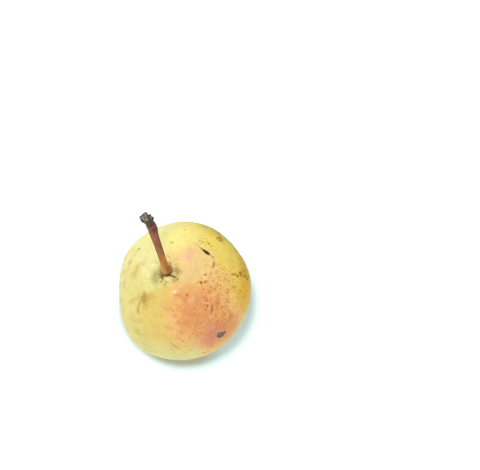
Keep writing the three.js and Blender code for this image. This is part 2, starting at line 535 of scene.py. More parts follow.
class Nodes:
    """A tree of nodes. Each value given may be a number or another socket."""

    def __init__(self, tree):
        self.tree = tree

    def add(self, kind, *values, **settings):
        """A new node of that kind, with those values at its first inputs."""
        node = self.tree.nodes.new("ShaderNode" + kind)
        for name, value in settings.items():
            setattr(node, name, value)
        for socket, value in zip(node.inputs, values):
            self.put(socket, value)
        return node

    def put(self, socket, value):
        if isinstance(value, bpy.types.NodeSocket):
            self.tree.links.new(value, socket)
        else:
            socket.default_value = value

    def math(self, operation, *values, clamp=False):
        return self.add("Math", *values, operation=operation, use_clamp=clamp).outputs[0]

    def plus(self, a, b):
        return self.math("ADD", a, b)

    def times(self, a, b):
        return self.math("MULTIPLY", a, b)

    def step(self, value, low, high):
        """Rises smoothly from 0 at low to 1 at high, or falls if high is the lower."""
        ends = (low, high, 0, 1) if low < high else (high, low, 1, 0)
        return self.add("MapRange", value, *ends, interpolation_type="SMOOTHSTEP").outputs[0]

    def mix(self, share, first, second, blend="MIX"):
        node = self.add("Mix", data_type="RGBA", blend_type=blend)
        self.put(node.inputs["Factor"], share)
        self.put(node.inputs[6], first)
        self.put(node.inputs[7], second)
        return node.outputs[2]

    def surface(self, kind, *values):
        """A surface of that kind, such as a diffuse one, from its values."""
        return self.add(kind, *values).outputs[0]

    def show(self, name, surface):
        self.put(self.tree.nodes[name].inputs["Surface"], surface)


class Graph(Nodes):
    """A material made of nodes, with the place on the object in millimetres."""

    def __init__(self, name):
        self.material = bpy.data.materials.new(name)
        self.material.use_nodes = True
        super().__init__(self.material.node_tree)
        self.shader = self.tree.nodes["Principled BSDF"]
        metres = self.add("TexCoord").outputs["Object"]
        scaled = self.add("VectorMath", metres, operation="SCALE")
        scaled.inputs["Scale"].default_value = 1 / MM
        self.place = scaled.outputs[0]

    def noise(self, size, detail=2, seed=0, place=None):
        """Noise from about 0 to 1 with lumps of about that size in millimetres."""
        values = (place or self.place, seed, 1 / size, detail)
        return self.add("TexNoise", *values, noise_dimensions="4D").outputs["Fac"]

    def cells(self, size, seed=0):
        """Distance in millimetres to the nearest of scattered points, and its colour."""
        values = (self.warped(0.5, 0.7, seed), seed * 10, 1 / size)
        node = self.add("TexVoronoi", *values, feature="F1", voronoi_dimensions="4D")
        return self.times(node.outputs["Distance"], size), node.outputs["Color"]

    def split(self, value):
        return self.add("SeparateColor", value).outputs[:3]

    def warped(self, amount, size, seed=0):
        """The place, shifted about by noise: up to half the amount each way."""
        cloud = self.add("TexNoise", self.place, seed, 1 / size, noise_dimensions="4D")
        values = (cloud.outputs["Color"], (amount, amount, amount), self.place)
        return self.add("VectorMath", *values, operation="MULTIPLY_ADD").outputs[0]

    def tone(self, base, value, saturation=1):
        """The same colour, lighter or darker, stronger or greyer."""
        node = self.add("HueSaturation")
        self.put(node.inputs["Value"], value)
        self.put(node.inputs["Saturation"], saturation)
        self.put(node.inputs["Color"], base)
        return node.outputs[0]

    def attribute(self, name):
        return self.add("Attribute", attribute_name=name).outputs["Fac"]

    def attribute_xyz(self, name):
        return self.xyz(self.add("Attribute", attribute_name=name).outputs["Vector"])

    def xyz(self, place):
        return self.add("SeparateXYZ", place).outputs[:3]

    def bump(self, height, distance, below=None):
        """Relief of that height at most, in millimetres, over an earlier bump."""
        node = self.add("Bump")
        node.inputs["Distance"].default_value = distance * MM
        self.put(node.inputs["Height"], height)
        if below:
            self.put(node.inputs["Normal"], below)
        return node.outputs["Normal"]


# -------------------- the skin's material

LEMON = colour("e8e092")
PALE = colour("f0e8a2")
STRAW = colour("e4d686")
SUNNY = colour("fff092")
CREAM = colour("ffda92")
HONEY = colour("e9cb72")
GOLD = colour("fde26c")
# Partly painted shade towards the right edge.
OCHRE_AND_SHADE = colour("c89c24")
AMBER = colour("efbc44")
# Partly painted shade towards the upper right.
OLIVE_AND_SHADE = colour("b2a23c")
PEACH = colour("fcc880")
ORANGE = colour("eba068")
DUSKY = colour("dc8c58")
ROSE = colour("e09078")
PINK = colour("f8b8a0")
TAN = colour("c29a48")
# Partly the grey-green of the skin, partly painted shade in the stem's hollow.
STAIN_AND_SHADE = colour("a39254")
EYE_RUSSET = colour("b08038")
# A painted sheen, pale and greyish, along the left rim.
RIM_SHEEN = colour("dad9a4")
# A painted highlight, laid on the swellings.
SWELLING_HIGHLIGHT = colour("fafcdc")
CORK = colour("8a7c70")
CORK_DARK = colour("4c3834")
# Partly a pale rim, partly painted highlight on the chip's raised lip.
CORK_RIM_AND_HIGHLIGHT = colour("ecc9a4")
# These are multiplied with the skin under them, and so darken it.
RUSSET = colour("c8a870")
FRECKLE = colour("d0ac7c")
FRECKLE_DARK = colour("b88c5c")
LENTICEL = colour("dacda8")
HALO = colour("dcc09a")
# Also darkens the ring of painted shade round the stem's foot.
BROWN_SPOT_AND_SHADE = colour("947644")
SPOT_OLIVE = colour("968c68")


def layered(g, base, name, tone, low, high, most, ragged):
    """Lays a colour where a mask, made ragged by noise, rises from low to high."""
    mask = g.plus(g.attribute(name), ragged)
    return g.mix(g.times(g.step(mask, low, high), most), base, tone)


def all_layered(g, base, layers):
    for layer in layers:
        base = layered(g, base, *layer)
    return base


def centred(g, size, detail, seed, amount):
    """Noise about 0, from about minus to plus half the amount."""
    return g.times(g.plus(g.noise(size, detail, seed), -0.5), amount)


def ground_colour(g):
    """Yellow: pale and greenish behind, straw on the left, golden on the right, where its two
    darker patches are partly painted shade.
    """
    wide = centred(g, 9, 3, 1, 0.6)
    middle = centred(g, 3, 4, 2, 0.9)
    base = g.mix(g.step(g.noise(12, 3, 3), 0.38, 0.62), LEMON, PALE)
    layers = (
        ("straw", STRAW, 0.1, 0.9, 0.9, wide),
        ("rim_sheen", RIM_SHEEN, 0.1, 0.9, 0.9, wide),
        ("sunny", SUNNY, 0.1, 0.9, 0.95, wide),
        ("honey", HONEY, 0.1, 0.95, 0.9, wide),
        ("gold", GOLD, 0.1, 0.9, 0.95, wide),
        ("cream", CREAM, 0.1, 0.9, 0.9, middle),
        ("ochre_and_shade", OCHRE_AND_SHADE, 0.15, 1.0, 0.8, middle),
        ("olive_and_shade", OLIVE_AND_SHADE, 0.15, 1.0, 0.8, middle),
        ("amber", AMBER, 0.1, 1.0, 0.75, wide),
    )
    return all_layered(g, base, layers)


def blushed(g, base):
    """Peach, then orange, then dusky rose where the sun was strongest."""
    ragged = g.plus(centred(g, 5, 4, 11, 0.5), centred(g, 1.4, 4, 12, 0.35))
    base = layered(g, base, "blush", PEACH, 0.08, 0.6, 0.95, ragged)
    base = layered(g, base, "blush", ORANGE, 0.4, 1.0, 0.85, ragged)
    blush = g.step(g.attribute("blush"), 0.2, 0.8)
    dusky = g.times(g.step(g.noise(3.2, 4, 13), 0.52, 0.68), blush)
    base = g.mix(g.times(dusky, 0.65), base, DUSKY)
    pale = g.times(g.step(g.noise(2.2, 4, 14), 0.52, 0.68), blush)
    base = g.mix(g.times(pale, 0.6), base, PEACH)
    base = layered(g, base, "rose", ROSE, 0.15, 1.1, 0.65, ragged)
    return layered(g, base, "pink", PINK, 0.1, 1.2, 0.65, ragged)


def mottled(g, base):
    """Small differences of lightness at three sizes, and of strength."""
    light = g.plus(centred(g, 0.8, 3, 101, 0.3), centred(g, 2.2, 3, 102, 0.16))
    light = g.plus(light, centred(g, 6, 3, 103, 0.1))
    strong = g.plus(centred(g, 1.6, 3, 104, 0.35), 1)
    return g.tone(base, g.plus(light, 1), strong)


def dots(g, size, radius, seed):
    """Scattered ragged dots, a few of them much darker than the others."""
    far, tint = g.cells(size, seed)
    red, green, _ = g.split(tint)
    gap = g.math("SUBTRACT", far, g.times(g.plus(red, 0.4), radius))
    dark = g.plus(g.times(g.times(green, green), 0.85), 0.15)
    return g.times(g.step(gap, 0.12, -0.12), dark)


def freckled(g, base):
    """Fine dots, dense on the blush over a soft mottle and lighter skin, and sparse
    elsewhere."""
    strength = g.step(g.attribute("freckles"), 0.0, 0.8)
    base = g.tone(base, g.plus(g.times(strength, 0.11), 1))
    mottle = g.times(g.step(g.noise(0.9, 3, 105), 0.48, 0.62), strength)
    base = g.mix(g.times(mottle, 0.45), base, FRECKLE, "MULTIPLY")
    base = g.mix(g.times(dots(g, 0.95, 0.4, 1), strength), base, FRECKLE, "MULTIPLY")
    large = g.times(g.times(dots(g, 1.9, 0.32, 2), strength), 0.5)
    base = g.mix(large, base, FRECKLE_DARK, "MULTIPLY")
    return g.mix(dots(g, 2.3, 0.42, 3), base, LENTICEL, "MULTIPLY")


def russeted(g, base):
    """Rough brown flecks in loose patches."""
    ragged = g.plus(g.times(g.noise(1.1, 4, 21), 0.6), g.times(g.noise(2.6, 3, 22), 0.4))
    patch = g.math("MINIMUM", g.attribute("russet"), 1)
    low = g.math("SUBTRACT", 0.72, g.times(patch, 0.22))
    flecks = g.step(g.math("SUBTRACT", ragged, low), -0.03, 0.06)
    return g.mix(flecks, base, RUSSET, "MULTIPLY"), flecks


def bruised(g, base):
    """Soft tan bruises, and faint smudges on the left."""
    ragged = g.plus(centred(g, 2.5, 4, 31, 0.8), centred(g, 0.9, 3, 32, 0.5))
    base = layered(g, base, "bruise", TAN, 0.1, 1.2, 0.95, ragged)
    smudges = g.times(g.step(g.noise(4.5, 4, 33), 0.52, 0.7), g.attribute("left"))
    return g.mix(g.times(smudges, 0.4), base, TAN)


def hollow_stains_shade_and_highlights(g, base):
    """The grey-green floor of the stem's hollow, partly the skin's colour and partly painted
    shade, with brown flecks, a darker ring of painted shade round the stem's foot, and
    painted highlights on the swellings."""
    ragged = g.plus(centred(g, 2, 4, 41, 1.2), centred(g, 0.7, 3, 43, 0.8))
    base = layered(g, base, "stain_and_shade", STAIN_AND_SHADE, 0.15, 1.3, 0.85, ragged)
    flecks = g.step(g.noise(1.3, 5, 42), 0.57, 0.66)
    flecks = g.times(flecks, g.step(g.attribute("hollow"), 0.2, 0.9))
    base = g.mix(g.times(flecks, 0.6), base, BROWN_SPOT_AND_SHADE, "MULTIPLY")
    # A ring of painted shade round the stem's foot.
    ring = g.step(g.plus(g.attribute("foot"), ragged), 0.2, 1.1)
    base = g.mix(g.times(ring, 0.8), base, BROWN_SPOT_AND_SHADE, "MULTIPLY")
    return layered(g, base, "pale", SWELLING_HIGHLIGHT, 0.3, 1.0, 0.8, ragged)


def eye_stained(g, base):
    """Russet that closes in round the eye."""
    return layered(g, base, "eye", EYE_RUSSET, 0.35, 1.0, 0.85, centred(g, 2, 5, 51, 0.9))


def line_share(g, name, half):
    """1 inside a line, which tapers to its ends and is ragged at its edges."""
    line = LINES[name]
    along, across, _ = g.attribute_xyz(name)
    share = g.times(along, 1 / half)
    head = g.math("POWER", g.math("MAXIMUM", g.plus(share, 1), 0), 0.5 * line.skew)
    tail = g.math("POWER", g.math("MAXIMUM", g.math("SUBTRACT", 1, share), 0), 0.5)
    reach = g.times(g.plus(g.times(head, tail), -0.3), line.width / 2)
    ragged = centred(g, 0.7, 3, 61, line.width * 0.8)
    gap = g.math("SUBTRACT", g.math("ABSOLUTE", g.plus(across, ragged)), reach)
    return g.step(gap, 0.2, -0.15)


def lined(g, base, halves):
    for name, line in LINES.items():
        share = g.times(line_share(g, name, halves[name]), line.shows)
        base = g.mix(share, base, colour(line.colour))
    return base


def spotted(g, base):
    """Brown spots with a soft paler halo; some are fainter."""
    gap = g.plus(g.attribute("spots"), centred(g, 0.7, 4, 71, 1.1))
    base = g.mix(g.times(g.step(gap, 0.45, -0.1), 0.7), base, HALO, "MULTIPLY")
    faint = g.step(g.noise(2.5, 1, 72), 0.3, 0.65)
    core = g.times(g.step(gap, 0.15, -0.3), g.plus(g.times(faint, 0.5), 0.45))
    return g.mix(core, base, g.mix(g.attribute("blush"), SPOT_OLIVE, BROWN_SPOT_AND_SHADE), "MULTIPLY")


def chipped(g, base):
    """A healed chip: grey-brown cork, dark at its edge, with a pale rim that is partly
    painted highlight on its raised lip.
    """
    gap = g.plus(g.attribute("chip"), centred(g, 0.9, 4, 81, 0.5))
    base = g.mix(g.times(g.step(gap, 0.7, 0.1), 0.45), base, CORK_RIM_AND_HIGHLIGHT)
    flaky = g.mix(g.step(g.noise(0.9, 4, 82), 0.45, 0.75), CORK, CORK_DARK)
    flaky = g.mix(g.times(g.step(gap, -0.6, 0.0), 0.6), flaky, CORK_DARK)
    cork = g.step(gap, 0.1, -0.1)
    return g.mix(g.times(cork, 0.97), base, flaky), cork


def skin_material(halves):
    g = Graph("pear_skin")
    base = freckled(g, mottled(g, blushed(g, ground_colour(g))))
    base, flecks = russeted(g, bruised(g, base))
    base = eye_stained(g, hollow_stains_shade_and_highlights(g, base))
    base, cork = chipped(g, spotted(g, lined(g, base, halves)))
    g.put(g.shader.inputs["Base Color"], base)
    rough = g.plus(centred(g, 3, 3, 91, 0.3), 0.45)
    rough = g.math("ADD", rough, g.times(g.math("MAXIMUM", flecks, cork), 0.3), clamp=True)
    g.put(g.shader.inputs["Roughness"], rough)
    pores = g.bump(g.noise(0.8, 4, 92), 0.05)
    g.put(g.shader.inputs["Normal"], g.bump(g.math("MAXIMUM", flecks, cork), 0.05, pores))
    g.shader.inputs["Subsurface Weight"].default_value = 0.1
    g.shader.inputs["Subsurface Radius"].default_value = (1, 0.5, 0.2)
    g.shader.inputs["Subsurface Scale"].default_value = 1.2 * MM
    g.shader.inputs["Specular IOR Level"].default_value = 0.03
    return g.material


# -------------------- the fruit's mesh


def write(mesh, name, grid):
    """Gives each point of the mesh a number, or a place, from a grid of them."""
    kind, field = ("FLOAT", "value") if grid.ndim == 2 else ("FLOAT_VECTOR", "vector")
    layer = mesh.attributes.new(name, kind, "POINT")
    layer.data.foreach_set(field, per_vertex(grid).astype(np.float32).ravel())


FAR_AWAY = 50  # added to a line's coordinates where it must not show


def write_lines(mesh):
    """Gives each line its own coordinates on the skin, and returns half its length."""
    halves = {}
    for name, line in LINES.items():
        along, across, halves[name] = along_and_across(line.start, line.end)
        near = distance_from(line.start) < 3 * halves[name] + 3
        far = np.where(near, 0, FAR_AWAY)
        write(mesh, name, np.stack((along + far, across + far, far), axis=-1))
    return halves


def make_fruit():
    height = relief()[..., None]
    points = in_frame(SMOOTH + unit_normals(SMOOTH) * height)
    fruit = add_mesh("pear_fruit", [points], "fruit")
    for name, mask in SKIN_MASKS.items():
        write(fruit.data, name, mask())
    fruit.data.materials.append(skin_material(write_lines(fruit.data)))


# -------------------- the stem

STEM_LENGTH = 36
STEM_ROOT = 2.4  # how far it is set into the flesh
STEM_TILT = (-0.116, 0.285)  # its run along X and Y for each unit of length
# How far it bends towards +X, by the share of its length.
STEM_BENDS = ((-0.067, -0.2), (0, -0.2), (0.33, 0), (0.67, 0.1), (0.87, 0.1), (1, -0.5))
# Its radius, by the distance above the hollow's floor.
STEM_RADII = (
    (-2.4, 1.7),
    (0, 2.2),
    (2, 1.95),
    (6, 1.6),
    (12, 1.45),
    (20, 1.5),
    (27, 1.75),
    (31, 1.85),
    (33, 1.75),
    (34.4, 2.05),
    (36, 2.1),
)
STEM_ROUND, STEM_RISE, STEM_CUT = 72, 230, 20  # points round it, up it, across its cut
GRAIN_RADIUS, GRAIN_STRETCH = 1.6, 7

# How far each swelling stands out, its middle and half length up the stem, and the
# side that it is on with its half width there in degrees.
STEM_SWELLINGS = ((0.45, 0.8, 1.5, -25, 35), (0.3, 28.6, 2.2, 5, 45))
# The same for the knob's corners, which share one middle; the last is a hollow.
KNOB_CORNERS = ((0.65, 178, 30), (0.5, 112, 24), (-0.35, 145, 18))

# The cut end has two lobes with a cleft between them, seen along the stem.
CLEFT_TURN = math.radians(20)
CLEFT = 0.6  # from the stem's middle line
CLEFT_WIDTH = 0.22
CLEFT_END = -1.1  # along the cleft
HIGH_LOBE, LOW_LOBE = 36.3, 34.8  # their distances above the hollow's floor


def smooth_line(places, points):
    """Values of a smooth line through points, each a place along it and its value."""
    at, value = np.array(points, dtype=float).T
    slope = np.gradient(value, at)
    i = np.clip(np.searchsorted(at, places) - 1, 0, len(at) - 2)
    step = at[i + 1] - at[i]
    t = (places - at[i]) / step
    first = (1 + 2 * t) * (1 - t) ** 2 * value[i] + t * (1 - t) ** 2 * step * slope[i]
    last = t**2 * (3 - 2 * t) * value[i + 1] - t**2 * (1 - t) * step * slope[i + 1]
    return first + last


def facing(turn, degrees, width):
    """1 on the side of the stem that faces that way, where 0 is +X and 90 is +Y."""
    away = (np.degrees(turn) - degrees + 180) % 360 - 180
    return hump(away, 0, width)


def stem_middle(distance):
    tilt = np.array((*STEM_TILT, math.sqrt(1 - sum(t * t for t in STEM_TILT))))
    sideways = smooth_line(distance / STEM_LENGTH, STEM_BENDS)
    floor = in_frame(upright(POLE_GAP, 0.0))
    return floor + distance[..., None] * tilt + sideways[..., None] * np.array((1, 0, 0))


def stacked(*parts):
    """Points from their coordinates, which may be grids, single rows or columns."""
    return np.stack(np.broadcast_arrays(*parts), axis=-1)


def grain(distance, turn, stretch):
    """Coordinates on the bark that noise follows along the stem."""
    x, y = GRAIN_RADIUS * np.cos(turn), GRAIN_RADIUS * np.sin(turn)
    return stacked(x, y, distance / stretch)


def cut_height(x, y):
    """How far up the stem the broken end is, across its section."""
    p = x * math.cos(CLEFT_TURN) + y * math.sin(CLEFT_TURN)
    q = y * math.cos(CLEFT_TURN) - x * math.sin(CLEFT_TURN)
    low = rise_between(p, CLEFT - 0.25, CLEFT + 0.25)
    height = HIGH_LOBE + (LOW_LOBE - HIGH_LOBE) * low + 0.22 * q * (1 - low)
    places = stacked(x, y, 0)
    rough = 0.4 * lumps(0.9, 31, places) + 0.2 * lumps(0.4, 32, places)
    return height - 0.6 * hump(p, CLEFT, CLEFT_WIDTH) + rough


def stem_radius(distance, turn):
    """The stem's radius: ridged, flared at its foot, with a node and a knob."""
    along = grain(distance, turn, GRAIN_STRETCH)
    radius = smooth_line(distance, STEM_RADII)
    radius += 0.07 * np.cos(6 * turn + 0.12 * distance + 2 * lumps(3, 21, along))
    radius += 0.16 * lumps(1.1, 22, along) + 0.05 * lumps(0.5, 23, along)
    foot = hump(np.maximum(distance, 0), 0, 2.6)
    radius += 0.12 * foot * np.cos(3 * turn - 0.6)
    for out, middle, length, side, width in STEM_SWELLINGS:
        radius += out * hump(distance, middle, length) * facing(turn, side, width)
    radius -= 0.16 * hump(distance, 33, 0.5)
    knob = rise_between(distance, 33.2, 34.2)
    close = grain(distance, turn, 1)
    angular = 0.55 * lumps(1.3, 24, close) + 0.25 * lumps(0.6, 25, close)
    corners = sum(out * facing(turn, side, width) for out, side, width in KNOB_CORNERS)
    return radius + knob * angular + corners * hump(distance, 35.8, 1.1)


def stem_grids():
    """Distance up the stem, turn, radius and nearness to the cut's middle for each grid
    point, from the middle of the cut end out to its rim and down to the root."""
    turn = np.linspace(0, 2 * math.pi, STEM_ROUND, endpoint=False)[None]
    rim = stem_radius(np.full_like(turn, LOW_LOBE), turn)
    top = cut_height(rim * np.cos(turn), rim * np.sin(turn))
    rim = stem_radius(top, turn)
    share = np.linspace(0, 1, STEM_CUT)[:-1, None]
    cut = cut_height(share * rim * np.cos(turn), share * rim * np.sin(turn))
    down = np.linspace(0, 1, STEM_RISE)[:, None]
    side = top + (-STEM_ROOT - top) * down
    distance = np.concatenate([cut, side, side[-1:]])
    radius = np.concatenate([share * rim, stem_radius(side, turn), 0 * turn])
    inward = np.concatenate([1 - share + 0 * turn, 0 * side, 0 * turn])
    distance[0] = distance[0, 0]
    return distance, turn + 0 * distance, radius, inward


def stem_points(distance, turn, radius):
    middle = stem_middle(distance)
    tangent = stem_middle(distance + 0.1) - stem_middle(distance - 0.1)
    tangent /= np.linalg.norm(tangent, axis=-1, keepdims=True)
    side = np.cross((0, 1, 0), tangent)
    side /= np.linalg.norm(side, axis=-1, keepdims=True)
    front = np.cross(tangent, side)
    x, y = radius * np.cos(turn), radius * np.sin(turn)
    return middle + x[..., None] * side + y[..., None] * front


FOOT_BROWN = colour("c88a3e")
# Partly pale bits of the foot, partly painted light on its left side.
FOOT_PALE_AND_LIT = colour("dcae74")
# Painted shade on the foot's right side.
FOOT_SHADE = colour("94581c")
MIDDLE_BROWN = colour("a6633e")
UPPER_BROWN = colour("8e5347")
# Dark streaks, and also painted shade on the stem's right side and where it goes into the
# fruit.
DARK_STREAK_AND_SHADE = colour("5b3322")
STREAK_PALE = colour("c58c63")
PLUM = colour("4c2b30")
KNOB_GREY = colour("7a6c60")
KNOB_DARK = colour("322b26")
FIBRE = colour("aa9c84")

# Each mask is worked out from the distance up the stem and the turn round it.
STEM_MASKS = {
    "along": lambda d, t: d,
    # painted shade on the stem's right side
    "shade": lambda d, t: facing(t, -5, 45) * rise_between(d, 8, 16),
    "plum": lambda d, t: hump(d, 29.8, 1.3) * facing(t, -50, 28),
    "fleck": lambda d, t: hump(d, 30.4, 1.1) * facing(t, -135, 22),
    "collar": lambda d, t: hump(d, 32.7, 1.0),
    "knob": lambda d, t: rise_between(d, 32.6, 33.8),
    "foot": lambda d, t: 1 - rise_between(d, 1.2, 2.6),
    # painted shade on the right of the foot and painted light on its left
    "foot_painted_shade": lambda d, t: facing(t, -40, 34) * (1 - rise_between(d, 3, 9)),
    "foot_painted_light": lambda d, t: facing(t, -135, 38) * (1 - rise_between(d, 3, 8)),
    # painted shade where the stem goes into the fruit
    "foot_edge_shade": lambda d, t: 1 - rise_between(d, 0.4, 1.5),
}


def knob_colour(g, ragged):
    """Grey broken wood, darker in places and outside the cut."""
    knob = g.mix(g.step(g.noise(0.6, 4, 5), 0.4, 0.62), KNOB_GREY, FIBRE)
    knob = g.mix(g.times(g.step(g.noise(0.9, 4, 6), 0.52, 0.64), 0.8), knob, KNOB_DARK)
    outside = g.step(g.plus(g.attribute("cut"), g.times(ragged, 0.2)), 0.3, 0.02)
    return g.mix(g.times(outside, 0.8), knob, KNOB_DARK)


def bark_colour(g, streaks, coarse):
    """Yellow-brown at the foot and redder higher up, with streaks along the stem, painted
    shade on its right side and painted light on the left of its foot.
    """
    along = g.plus(g.attribute("along"), g.times(g.plus(coarse, -0.5), 14))
    base = g.mix(g.step(along, 7, 18), FOOT_BROWN, MIDDLE_BROWN)
    base = g.mix(g.step(along, 22, 31), base, UPPER_BROWN)
    base = g.mix(g.times(g.step(streaks, 0.52, 0.66), 0.6), base, DARK_STREAK_AND_SHADE)
    base = g.mix(g.times(g.step(streaks, 0.48, 0.34), 0.55), base, STREAK_PALE)
    ragged = centred(g, 0.8, 4, 3, 0.7)
    layers = (
        ("shade", DARK_STREAK_AND_SHADE, 0.3, 1.0, 0.7, ragged),
        ("plum", PLUM, 0.25, 0.9, 0.8, ragged),
        ("fleck", FIBRE, 0.35, 0.9, 0.7, ragged),
        ("foot_painted_shade", FOOT_SHADE, 0.1, 1.1, 0.7, ragged),
        ("foot_painted_light", FOOT_PALE_AND_LIT, 0.2, 1.2, 0.6, g.times(streaks, 0.4)),
    )
    base = all_layered(g, base, layers)
    pale_foot = g.times(g.step(g.noise(0.7, 4, 4), 0.5, 0.62), g.attribute("foot"))
    base = g.mix(g.times(pale_foot, 0.7), base, FOOT_PALE_AND_LIT)
    base = layered(g, base, "foot_edge_shade", DARK_STREAK_AND_SHADE, 0.2, 0.8, 0.75, ragged)
    base = layered(g, base, "collar", KNOB_DARK, 0.4, 1.0, 0.8, ragged)
    knob = g.step(g.plus(g.attribute("knob"), ragged), 0.35, 0.85)
    base = g.mix(knob, base, knob_colour(g, ragged))
    return g.mix(g.times(g.step(g.attribute("cleft"), 0.3, 1.0), 0.85), base, KNOB_DARK)


def bark_material():
    g = Graph("pear_bark")
    grain_place = g.add("Attribute", attribute_name="grain").outputs["Vector"]
    streaks = g.noise(0.45, 4, 1, grain_place)
    coarse = g.noise(1.3, 3, 2, grain_place)
    g.put(g.shader.inputs["Base Color"], bark_colour(g, streaks, coarse))
    g.put(g.shader.inputs["Roughness"], g.plus(g.times(coarse, 0.3), 0.5))
    relief = g.plus(streaks, g.times(g.noise(0.35, 4, 7), 0.6))
    g.put(g.shader.inputs["Normal"], g.bump(relief, 0.12))
    g.shader.inputs["Specular IOR Level"].default_value = 0.3
    return g.material


def make_stem():
    distance, turn, radius, inward = stem_grids()
    stem = add_mesh("pear_stem", [stem_points(distance, turn, radius)], "stem")
    for name, mask in STEM_MASKS.items():
        write(stem.data, name, mask(distance, turn))
    write(stem.data, "cut", inward)
    p = radius * np.cos(turn - CLEFT_TURN)
    q = radius * np.sin(turn - CLEFT_TURN)
    cleft = hump(p, CLEFT, CLEFT_WIDTH) * (inward > 0) * (q > CLEFT_END)
    write(stem.data, "cleft", cleft)
    write(stem.data, "grain", grain(distance, turn, GRAIN_STRETCH))
    stem.data.materials.append(bark_material())


# -------------------- the dried flower

SEPALS = 5
SEPAL_TURN = 0.3
SEPAL_FOOT, SEPAL_REACH, SEPAL_WIDTH, SEPAL_TIP = 2.6, 4, 2.4, 0.4
SEPAL_LIFT = 0.75
SEPAL_ROWS, SEPAL_ROUND = 44, 36
FILAMENTS = 22
FILAMENT_ROWS, FILAMENT_ROUND = 20, 9
TUFT_HEIGHT = 3


def eye_ceiling(r):
    """Height of the eye hollow's ceiling above the table."""
    return WIDEST_HEIGHT - EYE_SIDE + dimple(EYE_HOLLOW, r) + dimple(EYE_TUBE, r)


def strip(rows, columns):
    """Shares of a strip's length, from 1 at its tip to 0, and turns round its section."""
    loop = np.linspace(0, 2 * math.pi, columns, endpoint=False)
    return np.linspace(1, 0, rows)[:, None], loop[None]


def with_closed_ends(points):
    """A strip with each end drawn together in one point, moved into the frame."""
    points[0], points[-1] = points[0].mean(axis=0), points[-1].mean(axis=0)
    return points + OFFSET


def sepal_points(heading, chance):
    """A dry pointed strap with curled edges, a midrib and a bent tip."""
    u, loop = strip(SEPAL_ROWS, SEPAL_ROUND)
    v = np.cos(loop) / 2
    w = np.sign(np.sin(loop)) * np.abs(np.sin(loop)) ** 0.6
    width = SEPAL_WIDTH * (1 - u) ** 0.8 * (1 + u) + SEPAL_TIP
    places = stacked(4 * u, 3 * v * width, 0)
    crinkle = lumps(0.9, chance.uniform(40, 90), places)
    across = (width * (1 + 0.12 * np.sin(14 * u + chance.uniform(0, 6)))) * v
    across += chance.uniform(-0.4, 0.4) * u * u
    r = SEPAL_FOOT + SEPAL_REACH * u
    curl = chance.uniform(0.25, 0.55) * (2 * v) ** 2 * (0.3 + u)
    rib = 0.12 * hump(v, 0, 0.06) * (1 - u)
    lift = SEPAL_LIFT + 0.5 * np.sin(u * math.pi) + 0.25 * crinkle
    lift += curl + chance.uniform(-0.2, 0.3) * u**3
    z = eye_ceiling(r) - lift + (0.16 * (1 - 0.5 * u)) * w - rib
    ends = rise_between(u, 0, 0.02) * rise_between(1 - u, 0, 0.02)
    turn = heading + across * ends / r
    return with_closed_ends(stacked(r * np.cos(turn), r * np.sin(turn), z))


def filament_points(chance):
    """One withered stamen: a bent thread with an anther at its tip."""
    u, loop = strip(FILAMENT_ROWS, FILAMENT_ROUND)
    heading, bend = chance.uniform(0, 2 * math.pi), chance.uniform(-0.9, 0.9)
    start, reach = chance.uniform(0.1, 0.8), chance.uniform(0.1, 0.55)
    length = TUFT_HEIGHT * chance.uniform(0.65, 1.02)
    out, turn = start + reach * u * u, heading + bend * u
    radius = 0.1 * (1 - 0.4 * u) + 0.13 * hump(u, 0.93, 0.06)
    radius = radius * rise_between(u, 0, 0.02) * rise_between(1 - u, 0, 0.04)
    x = out * np.cos(turn) + radius * np.cos(loop)
    y = out * np.sin(turn) - radius * np.sin(loop)
    z = eye_ceiling(0) - 0.1 - length * u + 0 * loop
    return with_closed_ends(stacked(x, y, z))


HUSK = colour("4a3a2c")
HUSK_PALE = colour("8a7252")
HUSK_DARK = colour("261d17")


def husk_material():
    g = Graph("dried_flower")
    base = g.mix(g.step(g.noise(1.1, 4, 1), 0.4, 0.65), HUSK, HUSK_PALE)
    base = g.mix(g.step(g.noise(0.5, 4, 2), 0.5, 0.66), base, HUSK_DARK)
    g.put(g.shader.inputs["Base Color"], base)
    g.shader.inputs["Roughness"].default_value = 0.9
    g.put(g.shader.inputs["Normal"], g.bump(g.noise(0.25, 4, 3), 0.08))
    return g.material


def make_dried_flower():
    chance = random.Random(7)
    husk = husk_material()
    for i in range(SEPALS):
        heading = (i + SEPAL_TURN) / SEPALS * 2 * math.pi
        grid = sepal_points(heading, chance)
        sepal = add_mesh(f"dry_sepal_{i + 1}", [grid], f"sepal_{i + 1}")
        sepal.data.materials.append(husk)
    threads = [filament_points(chance) for _ in range(FILAMENTS)]
    tuft = add_mesh("stamens", threads, "stamen_tuft")
    tuft.data.materials.append(husk)


# -------------------- stage, lights, camera

CAMERA_ANGLE = math.radians(69)  # looking down, towards +Y
CAMERA_AIM = (25, 35.5, 0)  # the point of the table in the middle of the view
CAMERA_DISTANCE = 340
LENS = 50


def make_camera():
    data = bpy.data.cameras.new("camera")
    data.lens = LENS
    camera = bpy.data.objects.new("camera", data)
    bpy.context.scene.collection.objects.link(camera)
    back = Vector((0, -math.cos(CAMERA_ANGLE), math.sin(CAMERA_ANGLE)))
    camera.location = (Vector(CAMERA_AIM) + back * CAMERA_DISTANCE) * MM
    camera.rotation_euler = (math.pi / 2 - CAMERA_ANGLE, 0, 0)
    bpy.context.scene.camera = camera


# Each lamp's name, place, size and watts.
LAMPS = (
    ("key", (-300, 230, 440), 260, 0.95),
    ("fill", (-160, -400, 260), 300, 0.3),
)


